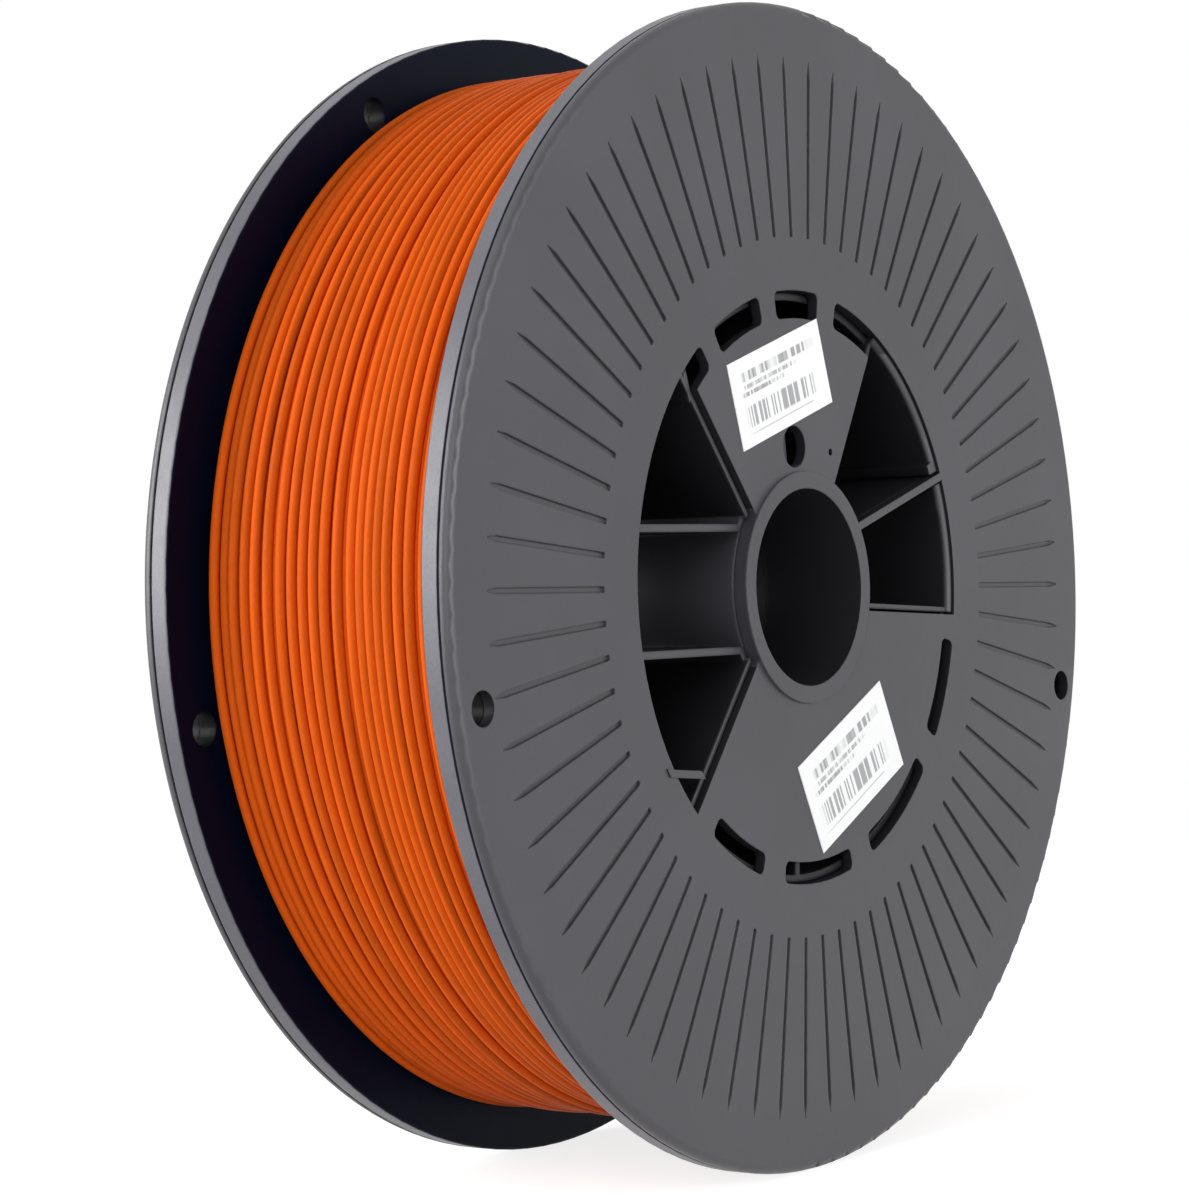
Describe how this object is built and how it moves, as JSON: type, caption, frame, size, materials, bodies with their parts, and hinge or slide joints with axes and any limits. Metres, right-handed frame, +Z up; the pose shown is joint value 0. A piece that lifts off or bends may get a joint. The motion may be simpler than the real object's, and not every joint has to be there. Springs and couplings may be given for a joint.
{
  "type": "filament spool",
  "caption": "Flanged plastic spool with a ribbed open hub and central bore, wound with filament for a 3-D printer.",
  "frame": {"origin": "centre of the bore, midway between the two flanges", "axes": "+Y along the spool's axis, from the front face to the back; +Z up as it stands on its rims; +X to the right seen from the front"},
  "size_m": [0.2, 0.0632, 0.2],
  "materials": {
    "shell": "fine satin",
    "filament": "smooth",
    "label": "matte paper"
  },
  "bodies": {
    "root": {"front_cover": "shell", "front_flange": "shell", "hub_core": "shell", "back_flange": "shell", "back_cover": "shell", "winding_core": "filament", "filament_outer_turns": "filament", "label_upper": "label", "label_lower": "label"}
  },
  "joints": []
}
